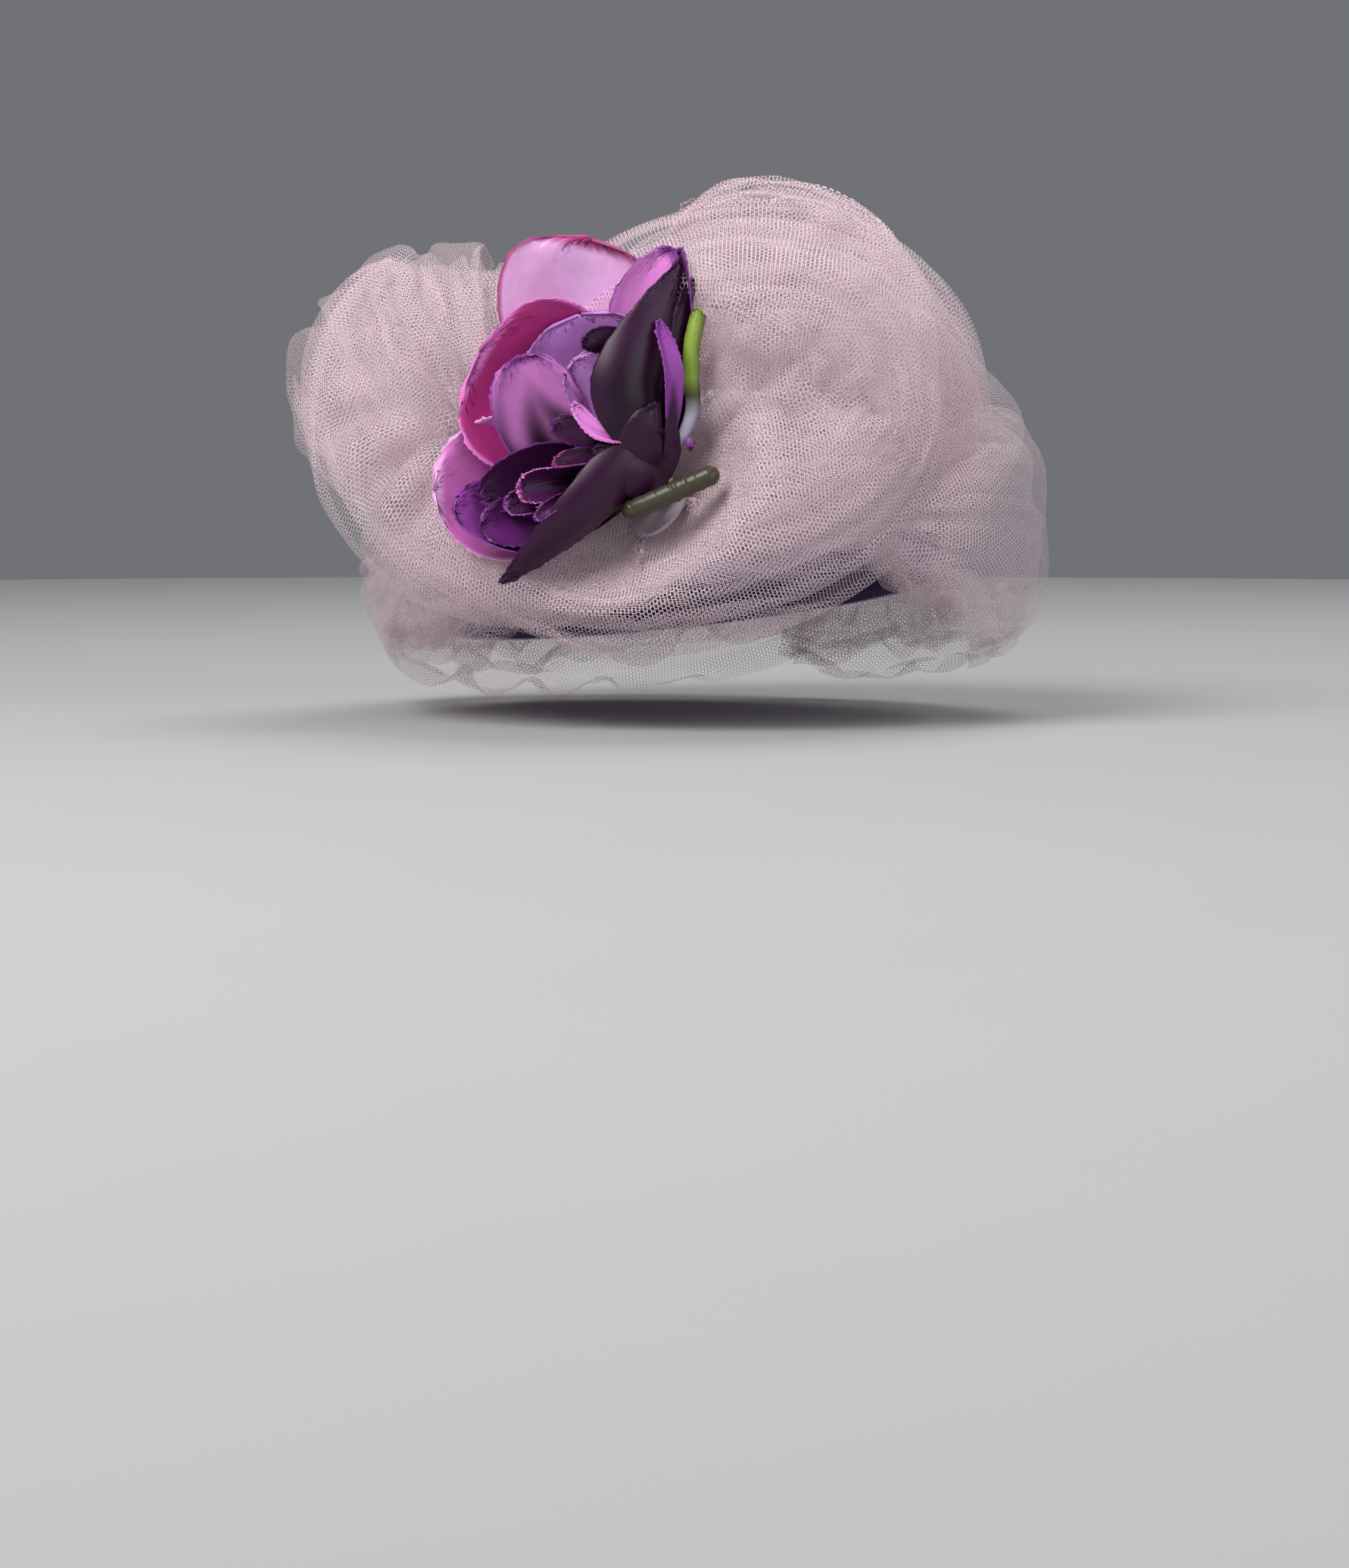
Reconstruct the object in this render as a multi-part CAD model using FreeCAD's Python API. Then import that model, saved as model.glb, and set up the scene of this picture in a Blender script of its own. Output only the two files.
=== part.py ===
"""Fascinator headpiece: a fabric-covered crown cap, dressed with gathered net poufs and one large satin rose.

Millimetres. +Z is up, the wearer looks along -Y and the wearer's left is +X. The origin is the centre of
the head opening, in the plane of the rim, which is a little lower at the nape. Places round the head are given by a bearing in degrees: 0 is the
forehead, 90 the wearer's left, -90 the wearer's right and 180 the nape.
"""

import FreeCAD
import Part

import math
import os

from FreeCAD import Matrix, Placement, Rotation, Vector

# ---------------------------------------------------------------- driving dimensions

HEAD_LENGTH = 168.0  # head opening, front to back, inside the lining
HEAD_WIDTH = 144.0  # head opening, side to side, inside the lining
CROWN_HEIGHT = 62.0  # rim to the top of the lining
WALL_HEIGHT = 10.0  # height of the upright rim wall below the dome
RIM_TILT = 0.16  # how far the rim falls towards the nape, as a slope

LAYER_GAP = 0.1  # between one fabric layer and the next
LINING_THICK = 0.5
BUCKRAM_THICK = 1.2
COVER_THICK = 0.6
VEIL_THICK = 1.6  # net laid flat over the cap, slightly crumpled
SWEATBAND_THICK = 0.6
SWEATBAND_TOP = 22.0
BINDING_TOP = 8.0
BINDING_THICK = 0.6
VEIL_BOTTOM = 2.0
RIM_WIRE_RADIUS = 0.6

OVAL = HEAD_WIDTH / HEAD_LENGTH  # the cap is turned round and then narrowed by this
HALF_LENGTH = HEAD_LENGTH / 2.0

# Skins of the cap layers, as offsets outwards from the inside of the lining
LINING_SKIN = LINING_THICK
BUCKRAM_IN = LINING_SKIN + LAYER_GAP
BUCKRAM_SKIN = BUCKRAM_IN + BUCKRAM_THICK
COVER_IN = BUCKRAM_SKIN + LAYER_GAP
COVER_SKIN = COVER_IN + COVER_THICK
VEIL_IN = COVER_SKIN + 2 * LAYER_GAP + BINDING_THICK
VEIL_SKIN = VEIL_IN + VEIL_THICK
TULLE_IN = VEIL_SKIN + 0.3

# Hair combs
COMB_SPINE_RADIUS = 1.3
COMB_SPINE_LENGTH = 36.0
COMB_TEETH = 11
COMB_PITCH = 3.3
COMB_TOOTH_LENGTH = 28.0
COMB_TOOTH_ROOT = 0.65
COMB_TOOTH_TIP = 0.4
COMB_LEAN = 22.0  # degrees from upright, along the dome
COMB_HEIGHT = 8.0  # spine above the rim plane
COMB_GAP = 0.4  # ends of the spine to the sweatband
LOOP_THREAD = 0.25
LOOP_GAP = 0.35  # spine to thread
LOOP_BITE = 0.3  # how far the thread goes into the sweatband

# Rose
ROSE_BEARING = -47.6  # where its base stands
ROSE_DISTANCE = 96.0
ROSE_HEIGHT = 37.0
ROSE_AXIS = Vector(-0.820, -0.057, 0.570)  # the way it faces
ROSE_NARROW = 0.90  # its mouth is taller than it is wide
ROSE_TALL = 1.38
PETAL_THICK = 0.4
CALYX_DEPTH = 9.0
CALYX_RADIUS = 9.0
BACKING_RADIUS = 11.0
BACKING_THICK = 1.2
BACKING_DEPTH = 10.6  # its far face, behind the base of the rose
STEM_BEARING = -38.0  # the stem and the sepal lie across this way
STEM_RADIUS = 3.0
STEM_WIRE_RADIUS = 0.7
SEPAL_WIDTH = 6.0

# Whorl: name, petals, first bearing round the rose, root radius, root height, mouth radius, mouth height,
# half width in degrees at the root and at the widest, spiral step
WHORLS = (
    ("outer_petal", 5, 20.0, 8.9, 0.6, 47.0, 38.0, 26.0, 46.0, 1.3),
    ("middle_petal", 5, 56.0, 6.9, 2.2, 32.0, 41.0, 26.0, 46.0, 1.1),
    ("inner_petal", 4, 10.0, 5.2, 4.2, 19.0, 38.0, 32.0, 58.0, 0.8),
    ("bud_petal", 3, 40.0, 3.7, 7.0, 9.5, 33.0, 42.0, 74.0, 0.6),
)

OUT = "parts"


# ---------------------------------------------------------------- placing things round the head


def heading(bearing):
    """Unit vector pointing away from the head's axis at a bearing."""
    angle = math.radians(bearing)
    return Vector(math.sin(angle), -math.cos(angle), 0.0)


def round_head(bearing, distance, height):
    """Point at a bearing, a distance from the head's axis and a height above the rim plane."""
    return heading(bearing) * distance + Vector(0, 0, height)


def to_oval(shape):
    """Narrows a shape turned round the head's axis into the head's oval, and slopes it with the rim."""
    fitting = Matrix()
    fitting.A11 = OVAL
    fitting.A32 = -RIM_TILT
    return shape.transformGeometry(fitting)


def turned(edges, angle=360.0, start=0.0):
    """Solid of revolution about Z of a closed outline in the XZ plane."""
    face = Part.Face(Part.Wire(Part.__sortEdges__(edges)))
    solid = face.revolve(Vector(0, 0, 0), Vector(0, 0, 1), angle)
    solid.rotate(Vector(0, 0, 0), Vector(0, 0, 1), start)
    return solid


def line(x1, z1, x2, z2):
    """Straight edge in the XZ plane."""
    return Part.LineSegment(Vector(x1, 0, z1), Vector(x2, 0, z2)).toShape()


def outline(points):
    """Closed polyline in the XZ plane."""
    closed = list(points) + [points[0]]
    return [line(*closed[i], *closed[i + 1]) for i in range(len(points))]


# ---------------------------------------------------------------- cap


def dome_arc(offset):
    """Quarter ellipse from the top of the rim wall to the crown, at an offset from the lining's inside."""
    centre = Vector(0, 0, WALL_HEIGHT)
    reach = HALF_LENGTH + offset
    rise = CROWN_HEIGHT - WALL_HEIGHT + offset
    curve = Part.Ellipse(centre + Vector(reach, 0, 0), centre + Vector(0, 0, rise), centre)
    return Part.Arc(curve, 0.0, math.pi / 2).toShape()


def cap_layer(inner, outer, low=0.0):
    """Shell of the cap between two offsets, from a height up to the crown."""
    edges = [
        line(HALF_LENGTH + outer, low, HALF_LENGTH + outer, WALL_HEIGHT),
        dome_arc(outer),
        line(0, CROWN_HEIGHT + outer, 0, CROWN_HEIGHT + inner),
        dome_arc(inner),
        line(HALF_LENGTH + inner, WALL_HEIGHT, HALF_LENGTH + inner, low),
        line(HALF_LENGTH + inner, low, HALF_LENGTH + outer, low),
    ]
    return to_oval(turned(edges))


def cap_body(offset, low=-60.0):
    """Solid filling the cap out to an offset, used to hollow what sits on it."""
    edges = [
        line(HALF_LENGTH + offset, low, HALF_LENGTH + offset, WALL_HEIGHT),
        dome_arc(offset),
        line(0, CROWN_HEIGHT + offset, 0, low),
        line(0, low, HALF_LENGTH + offset, low),
    ]
    return to_oval(turned(edges))


def cap_ring(inner, outer, low, high):
    """Part of a cap layer between two heights."""
    edges = [
        line(HALF_LENGTH + outer, low, HALF_LENGTH + outer, WALL_HEIGHT),
        dome_arc(outer),
        line(0, CROWN_HEIGHT + outer, 0, CROWN_HEIGHT + inner),
        dome_arc(inner),
        line(HALF_LENGTH + inner, WALL_HEIGHT, HALF_LENGTH + inner, low),
        line(HALF_LENGTH + inner, low, HALF_LENGTH + outer, low),
    ]
    slab = Part.makeBox(300, 300, high - low, Vector(-150, -150, low))
    return to_oval(turned(edges).common(slab))


def rim_binding():
    """Folded bias strip that wraps the raw rim of the lining, buckram and cover."""
    inner, outer = 0.0, COVER_SKIN + LAYER_GAP
    low = -2.4  # leaves room for the rim wire under the buckram
    r = HALF_LENGTH
    points = [
        (r + outer + BINDING_THICK, low),
        (r + outer + BINDING_THICK, BINDING_TOP),
        (r + outer, BINDING_TOP),
        (r + outer, low + BINDING_THICK),
        (r + inner, low + BINDING_THICK),
        (r + inner, -LAYER_GAP),
        (r + inner - BINDING_THICK, -LAYER_GAP),
        (r + inner - BINDING_THICK, low),
    ]
    return to_oval(turned(outline(points)))


def rim_wire():
    """Millinery wire that keeps the rim's oval, held in the fold of the binding."""
    middle = HALF_LENGTH + (BUCKRAM_IN + BUCKRAM_SKIN) / 2
    ring = Part.makeTorus(middle, RIM_WIRE_RADIUS, Vector(0, 0, -RIM_WIRE_RADIUS - 2 * LAYER_GAP))
    return to_oval(ring)


def sweatband():
    """Grosgrain ribbon round the inside of the rim."""
    return cap_ring(-LAYER_GAP - SWEATBAND_THICK, -LAYER_GAP, LAYER_GAP, SWEATBAND_TOP)


# ---------------------------------------------------------------- combs


def comb():
    """Comb with its spine on the X axis and its teeth up the Z axis."""
    half = COMB_SPINE_LENGTH / 2
    body = Part.makeCylinder(COMB_SPINE_RADIUS, 2 * half, Vector(-half, 0, 0), Vector(1, 0, 0))
    for end in (-half, half):
        body = body.fuse(Part.makeSphere(COMB_SPINE_RADIUS, Vector(end, 0, 0)))
    for index in range(COMB_TEETH):
        x = (index - (COMB_TEETH - 1) / 2) * COMB_PITCH
        shank = Part.makeCone(
            COMB_TOOTH_ROOT, COMB_TOOTH_TIP, COMB_TOOTH_LENGTH, Vector(x, 0, 0), Vector(0, 0, 1)
        )
        tip = Part.makeSphere(COMB_TOOTH_TIP, Vector(x, 0, COMB_TOOTH_LENGTH))
        body = body.fuse([shank, tip])
    return body.removeSplitter()


def band_reach(x):
    """Distance from the X axis to the inside of the sweatband at a place along a comb."""
    reach = HALF_LENGTH - LAYER_GAP - SWEATBAND_THICK
    return reach * math.sqrt(1.0 - (x / (reach * OVAL)) ** 2)


def comb_spine_point(side):
    """Where a comb's spine lies: side is -1 at the forehead and 1 at the nape."""
    end = COMB_SPINE_LENGTH / 2 + COMB_SPINE_RADIUS
    y = side * (band_reach(end) - COMB_GAP - COMB_SPINE_RADIUS)
    return Vector(0, y, COMB_HEIGHT - RIM_TILT * y)


def placed_comb(side):
    """Comb lying against the sweatband, teeth up and leaning in under the dome."""
    shape = comb()
    shape.rotate(Vector(0, 0, 0), Vector(1, 0, 0), side * COMB_LEAN)
    shape.translate(comb_spine_point(side))
    return shape


def comb_stitches(side):
    """Thread loops between the teeth, which let the comb swing on its spine. Their ends meet the sweatband."""
    loops = []
    near = abs(comb_spine_point(side).y) - COMB_SPINE_RADIUS - LOOP_GAP - LOOP_THREAD
    for step in (-4.5, -1.5, 1.5, 4.5):
        x = step * COMB_PITCH
        radius = (band_reach(x) + LOOP_BITE - near) / 2
        middle = near + radius
        centre = Vector(x, side * middle, comb_spine_point(side).z)
        half = math.degrees(math.acos((band_reach(x) - LOOP_THREAD - middle) / radius))
        thread = Part.Wire(Part.makeCircle(LOOP_THREAD, centre + Vector(0, 0, radius), Vector(0, 1, 0)))
        loop = Part.Face(thread).revolve(centre, Vector(1, 0, 0), 360.0 - 2 * half)
        loop.rotate(centre, Vector(1, 0, 0), -90.0 + half if side > 0 else 90.0 + half)
        loops.append(loop)
    return Part.Compound(loops)


# ---------------------------------------------------------------- net


def roll(start, end, distance, height, radial, high):
    """Sector of an oval ring of gathered net, round the outside of the rim."""
    centre = Vector(distance, 0, height)
    reach, rise = Vector(radial, 0, 0), Vector(0, 0, high)
    if high > radial:
        curve = Part.Ellipse(centre + rise, centre - reach, centre)
    else:
        curve = Part.Ellipse(centre + reach, centre + rise, centre)
    return to_oval(turned([curve.toShape()], end - start, start - 90.0))


def puff(bearing, distance, height, radial, across, high):
    """Egg of gathered net; radial, across and high are its half sizes."""
    ball = Part.makeSphere(1.0)
    stretch = Matrix()
    stretch.scale(radial, across, high)
    ball = ball.transformGeometry(stretch)
    ball.rotate(Vector(0, 0, 0), Vector(0, 0, 1), bearing - 90.0)
    ball.translate(round_head(bearing, distance, height))
    return ball


def net_pieces(pockets):
    """The gathered net, each piece cut clear of the cap, of the pockets and of the pieces before it."""
    drafts = [
        ("front_roll", roll(-128, 6, 103.0, 11.0, 16.0, 22.0)),
        ("left_fall", roll(6, 112, 107.0, 9.0, 20.0, 39.0)),
        ("back_fall", roll(112, 232, 103.0, 20.0, 17.0, 40.0)),
        ("front_pouf", puff(-4, 56, 78, 54, 52, 56)),
        ("right_pouf", puff(-114, 84, 72, 47, 50, 52)),
        ("back_pouf", puff(160, 58, 66, 46, 66, 47)),
        ("left_pouf", puff(78, 62, 58, 38, 46, 42)),
    ]
    cap = cap_body(TULLE_IN)
    made = []
    for name, draft in drafts:
        shape = draft.cut(cap)
        for pocket in pockets:
            shape = shape.cut(pocket)
        for _, earlier in drafts[: len(made)]:
            shape = shape.cut(earlier)
        made.append((name, largest(shape)))
    return made


def largest(shape):
    """The biggest solid of a shape that a cut left in several."""
    return max(shape.Solids, key=lambda solid: solid.Volume)


# ---------------------------------------------------------------- rose


def rose_placement():
    """Placement that carries the rose's own frame, base at the origin and facing +Z with its top at +Y, to the hat."""
    base = round_head(ROSE_BEARING, ROSE_DISTANCE, ROSE_HEIGHT)
    return Placement(base, Rotation(Vector(), Vector(0, 0, 1), ROSE_AXIS, "ZYX"))


def stretched(point, height):
    """Point of the rose after its mouth is narrowed across and drawn out upwards, more towards the rim."""
    share = max(0.0, min(1.0, height / 40.0))
    narrow = 1.0 + (ROSE_NARROW - 1.0) * share
    tall = 1.0 + (ROSE_TALL - 1.0) * share
    return Vector(point.x * narrow, point.y * tall, point.z)


def cup_radius(share, root, mouth):
    """Radius of a petal cup at a share of its height: full near the base, then steadily opening."""
    return root + (mouth - root) * (0.65 * math.sin(share * math.pi / 2) + 0.35 * share * share)


def petal_point(whorl, bearing, across, along):
    """Point on a petal's middle surface. across runs from -1 to 1 and along from 0 at the root to 1."""
    _, _, _, root, low, mouth, high, narrow, wide, spiral = whorl
    height = along * (1.0 - 0.16 * across * across * along)
    spread = narrow + (wide - narrow) * math.sin(min(along / 0.7, 1.0) * math.pi / 2)
    angle = math.radians(bearing + across * spread * (1.0 - 0.12 * along**4))
    radius = cup_radius(height, root, mouth) + across * spiral * (0.35 + 0.65 * along)
    rise = low + height * (high - low)
    return stretched(Vector(radius * math.cos(angle), radius * math.sin(angle), rise), rise)


def thick_sheet(surface_point, thick, steps=8):
    """Closed solid of even thickness about a surface given by a function of (u, v), each from 0 to 1."""
    step = 1e-3
    sides = ([], [])
    for i in range(steps + 1):
        rows = ([], [])
        for j in range(steps + 1):
            u, v = i / steps, j / steps
            du = surface_point(u + step, v) - surface_point(u - step, v)
            dv = surface_point(u, v + step) - surface_point(u, v - step)
            normal = du.cross(dv)
            normal.normalize()
            for row, way in zip(rows, (-0.5, 0.5)):
                row.append(surface_point(u, v) + normal * (way * thick))
        for side, row in zip(sides, rows):
            side.append(row)
    skins = []
    for side in sides:
        skin = Part.BSplineSurface()
        skin.interpolate(side)
        skins.append(skin)
    faces = [skin.toShape() for skin in skins]
    borders = [
        lambda s: s.uIso(s.bounds()[0]),
        lambda s: s.uIso(s.bounds()[1]),
        lambda s: s.vIso(s.bounds()[2]),
        lambda s: s.vIso(s.bounds()[3]),
    ]
    for border in borders:
        faces.append(Part.makeRuledSurface(*[border(skin).toShape() for skin in skins]))
    shell = Part.makeShell(faces)
    shell.sewShape()
    solid = Part.makeSolid(shell)
    if solid.Volume < 0:
        solid.reverse()
    return solid


def petals():
    """Every petal as its own solid, in the rose's frame."""
    made = []
    for whorl in WHORLS:
        name, count, first = whorl[:3]
        for index in range(count):
            bearing = first + index * 360.0 / count
            shape = thick_sheet(
                lambda u, v, w=whorl, b=bearing: petal_point(w, b, 2 * u - 1, v), PETAL_THICK
            )
            made.append((f"{name}_{index + 1}", shape))
    return made


def bud_core():
    """Wadding core that the petals are glued round."""
    return turned(outline([(0, 0.2), (3.0, 0.2), (3.0, 8.0), (2.2, 18.0), (1.0, 22.0), (0, 22.5)]))


def calyx():
    """Green cup that closes the back of the rose."""
    points = [
        (0, -CALYX_DEPTH),
        (STEM_RADIUS + 0.4, -CALYX_DEPTH),
        (CALYX_RADIUS * 0.72, -CALYX_DEPTH * 0.55),
        (CALYX_RADIUS, 0),
        (0, 0),
    ]
    return turned(outline(points))


def flower_backing():
    """Felt disc under the rose, by which it is sewn to the net."""
    return Part.makeCylinder(BACKING_RADIUS, BACKING_THICK, Vector(0, 0, -BACKING_DEPTH), Vector(0, 0, 1))


def rose_envelope():
    """Room for the whole rose, which the net is cut back from."""
    back, wide = -BACKING_DEPTH - 0.4, BACKING_RADIUS + 0.6
    points = [(0, back), (wide, back), (wide, -4.0), (44.0, 14.0), (56.0, 40.0), (52.0, 58.0), (0, 58.0)]
    fitting = Matrix()
    fitting.scale(0.95, 1.32, 1.0)
    return turned(outline(points)).transformGeometry(fitting)


# ---------------------------------------------------------------- stem and sepal, in the hat's frame


def from_rose(side, out, up):
    """Point given from the rose's base: side towards the wearer's left across the rose, out from the head, up."""
    out_way = heading(STEM_BEARING)
    side_way = Vector(-out_way.y, out_way.x, 0)
    base = round_head(ROSE_BEARING, ROSE_DISTANCE, ROSE_HEIGHT)
    return base + side_way * side + out_way * out + Vector(0, 0, up)


def rounded_path(points, share=0.45):
    """Wire of straight runs joined by tangent arcs, each as large as its two runs allow."""
    edges, last = [], points[0]
    for before, corner, after in zip(points, points[1:], points[2:]):
        back, on = before - corner, after - corner
        cut = share * min(back.Length, on.Length)
        back.normalize()
        on.normalize()
        start, end = corner + back * cut, corner + on * cut
        half_turn = (math.pi - back.getAngle(on)) / 2
        radius = cut / math.tan(half_turn)
        middle = back + on
        middle.normalize()
        apex = corner + middle * (radius / math.cos(half_turn) - radius)
        edges.append(Part.LineSegment(last, start).toShape())
        edges.append(Part.Arc(start, apex, end).toShape())
        last = end
    edges.append(Part.LineSegment(last, points[-1]).toShape())
    return Part.Wire(edges)


def tube(path, radius):
    """Round bar along a wire."""
    first = path.Edges[0]
    way = first.tangentAt(first.FirstParameter)
    section = Part.Wire(Part.makeCircle(radius, first.Vertexes[0].Point, way))
    return path.makePipeShell([section], True, True)


def stem_path():
    """The stem bends sharply out of the calyx and lies across the roll of net."""
    return rounded_path(
        [from_rose(1.0, -2, -5), from_rose(-3.5, 5, -11.0), from_rose(5.0, 11, -9.5), from_rose(23.0, 12, 0.5)]
    )


def stem_parts(neighbours):
    """Taped stem with two raised turns of tape, and the wire inside it."""
    path = stem_path()
    wrap = tube(path, STEM_RADIUS)
    last = path.Edges[-1]
    way = last.tangentAt(last.LastParameter)
    tip = last.valueAt(last.LastParameter)
    for back in (9.0, 12.5):
        wrap = wrap.fuse(Part.makeCylinder(STEM_RADIUS + 0.35, 1.4, tip - way * back, way))
    wrap = wrap.fuse(Part.makeSphere(STEM_RADIUS, tip))
    for neighbour in neighbours:
        wrap = wrap.cut(neighbour)
    wire = tube(path, STEM_WIRE_RADIUS)
    for neighbour in neighbours:
        wire = wire.cut(neighbour)
    return largest(wrap.cut(wire)), largest(wire)


def sepal():
    """Narrow green sepal that leaves the calyx and runs up the outside of the rose."""
    spine = Part.BSplineCurve()
    spine.interpolate(
        [
            from_rose(9.4, 2.5, 6.5),
            from_rose(13.9, 2.5, 16.5),
            from_rose(18.5, 2.5, 28.5),
            from_rose(19.7, 2.5, 42.5),
            from_rose(21.4, 0.5, 58.5),
        ]
    )
    low, high = spine.FirstParameter, spine.LastParameter
    out_way = heading(STEM_BEARING)
    side_way = Vector(-out_way.y, out_way.x, 0)

    def surface_point(u, v):
        across = (2 * u - 1) * SEPAL_WIDTH / 2 * (1.0 - 0.35 * v)
        fold = -1.2 * (2 * u - 1) ** 2
        return spine.value(low + v * (high - low)) + side_way * across + out_way * fold

    return thick_sheet(surface_point, PETAL_THICK)


# ---------------------------------------------------------------- assembly


def build():
    """All nodes of the headpiece, by name."""
    parts = {}
    parts["cap_lining"] = cap_layer(0.0, LINING_SKIN)
    parts["cap_foundation"] = cap_layer(BUCKRAM_IN, BUCKRAM_SKIN)
    parts["cap_cover"] = cap_layer(COVER_IN, COVER_SKIN)
    parts["cap_veil"] = cap_layer(VEIL_IN, VEIL_SKIN, VEIL_BOTTOM)
    parts["rim_binding"] = rim_binding()
    parts["rim_wire"] = rim_wire()
    parts["sweatband"] = sweatband()

    for side, name in ((-1, "front_comb"), (1, "back_comb")):
        parts[name] = placed_comb(side)
        parts[f"{name}_stitches"] = comb_stitches(side)

    place = rose_placement()
    rose = petals() + [
        ("bud_core", bud_core()),
        ("calyx", calyx()),
        ("flower_backing", flower_backing()),
    ]
    for name, shape in rose:
        shape.Placement = place.multiply(shape.Placement)
        parts[name] = shape
    envelope = rose_envelope()
    envelope.Placement = place.multiply(envelope.Placement)

    parts["stem_wrap"], parts["stem_wire"] = stem_parts([parts["calyx"]])
    parts["sepal"] = sepal()

    stem_room = STEM_RADIUS + 1.2
    pockets = [envelope, tube(stem_path(), stem_room), Part.makeSphere(stem_room, stem_path().Vertexes[-1].Point)]
    parts.update(net_pieces(pockets))
    return parts


def main():
    os.makedirs(OUT, exist_ok=True)
    for name, shape in build().items():
        shape.exportStep(os.path.join(OUT, f"{name}.step"))
        print(f"{name:22s} solids {len(shape.Solids)} valid {shape.isValid()} volume {shape.Volume / 1000:.2f} cm3")


main()
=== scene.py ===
"""Looks of the fascinator headpiece: gathered net over the cap, and the satin rose.

Everything is in metres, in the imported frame, unless a name or comment says millimetres.
"""

import math

import bpy
import numpy as np
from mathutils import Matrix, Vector


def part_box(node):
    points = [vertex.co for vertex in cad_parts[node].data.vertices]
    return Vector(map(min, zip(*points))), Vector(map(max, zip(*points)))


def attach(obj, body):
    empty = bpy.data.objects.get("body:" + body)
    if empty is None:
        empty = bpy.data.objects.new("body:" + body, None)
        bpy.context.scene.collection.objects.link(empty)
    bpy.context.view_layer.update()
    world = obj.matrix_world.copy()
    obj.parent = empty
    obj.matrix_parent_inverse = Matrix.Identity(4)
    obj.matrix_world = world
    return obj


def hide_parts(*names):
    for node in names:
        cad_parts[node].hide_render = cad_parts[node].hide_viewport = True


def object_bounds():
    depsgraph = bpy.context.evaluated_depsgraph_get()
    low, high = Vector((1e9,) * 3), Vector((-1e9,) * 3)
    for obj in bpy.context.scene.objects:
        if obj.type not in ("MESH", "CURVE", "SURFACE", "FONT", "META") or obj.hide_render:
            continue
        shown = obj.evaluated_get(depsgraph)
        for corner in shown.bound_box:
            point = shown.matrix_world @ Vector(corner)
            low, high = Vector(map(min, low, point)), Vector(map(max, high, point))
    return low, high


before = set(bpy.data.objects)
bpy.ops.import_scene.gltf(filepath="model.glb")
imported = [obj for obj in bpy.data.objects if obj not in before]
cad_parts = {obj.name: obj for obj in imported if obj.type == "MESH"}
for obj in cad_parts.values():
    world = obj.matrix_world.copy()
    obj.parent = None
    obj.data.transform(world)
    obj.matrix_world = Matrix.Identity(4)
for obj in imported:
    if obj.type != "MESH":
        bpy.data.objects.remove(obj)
CAD_LOW, CAD_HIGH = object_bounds()

MM = 0.001

# ---------------------------------------------------------------- driving values

VIEW_BEARING = -38.0  # the camera stands off the wearer's right front
VIEW_ELEVATION = 2.0
VIEW_DISTANCE = 1400 * MM
PICTURE_HEIGHT = 511.6 * MM  # height of the picture at the head opening's distance
SENSOR = 36.0  # size of the camera's sensor, in mm
SHIFT = (-0.0101, -0.1182)  # moves the hat to its place in the picture

FLOOR_REACH = 1.5
FLOOR_SIDES = 96
FLOOR_GAP = 0.5 * MM  # from the lowest point down to the floor
LIGHT_AIM = 60 * MM  # height that the lights are aimed at
# name, bearing from the camera's, elevation, distance, size, watts, colour
LIGHTS = [
    ("key", -38, 42, 1.6, 0.9, 26, (1.0, 0.98, 0.96)),
    ("fill", 48, 18, 1.8, 1.2, 9, (0.96, 0.98, 1.0)),
    ("top", 150, 62, 1.6, 1.0, 14, (1.0, 1.0, 1.0)),
]

NET_CELL = 1.35 * MM
NET_CELL_RATIO = 0.86  # height of a cell to its width
NET_THREAD = 0.135 * MM
NET_COLOUR = (0.80, 0.63, 0.69)

SHEET_ROWS, SHEET_COLS = 44, 100  # points of a sheet while it settles
SETTLE_STEPS, QUICK_STEPS = 90, 4
AIR_PUSH = 0.05 * MM  # speed that the air inside adds at each step
TOP_SPEED = 1.2 * MM  # furthest that a point moves in a step
SPEED_KEPT = 0.90  # share of its speed that a point keeps from step to step
SHEAR_STIFF = 0.25  # against 1 for stretch
BEND_STIFF = 0.10
GUIDE_HOLD = 0.006  # share of the way back to its first place, at each step
LENGTH_EASE = 1.04  # flat length to the length along the mass
FOLD_DEPTH = 11 * MM  # deepest gathering fold
START_NOISE = 0.25 * MM
CREASES = ((24, 0.10), (11, 0.08))  # size in cells, and slope, of the coarse and the fine creases
CREASE_WAVES = 5
MOST_AREA = 1.2  # creased area to flat area, above which the creases are made weaker
LAYERS = (1.0, 0.87, 0.74)  # size of the sheets of a mass, one inside another
THIN_LAYERS = (1.0, 0.8)  # the same for the falls and the sweeps
FULLNESS, MORE_FULLNESS = 1.16, 0.12  # width to girth: of the outer sheet, and more for each inner one
FOLDS, MORE_FOLDS = 9, 2  # gathering folds, in the same way
FIRST_SEED = 100

RIM_TILT = 0.16  # the rim falls by this much for each unit towards the nape
RIM_LOW, RIM_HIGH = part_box("rim_binding")
OVAL = (RIM_HIGH.x - RIM_LOW.x) / (RIM_HIGH.y - RIM_LOW.y)


def linear(r, g, b):
    """Linear colour of an sRGB one given from 0 to 255."""
    out = []
    for c in (r, g, b):
        c /= 255.0
        out.append(c / 12.92 if c <= 0.04045 else ((c + 0.055) / 1.055) ** 2.4)
    return tuple(out)


# ---------------------------------------------------------------- camera, light and floor


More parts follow.
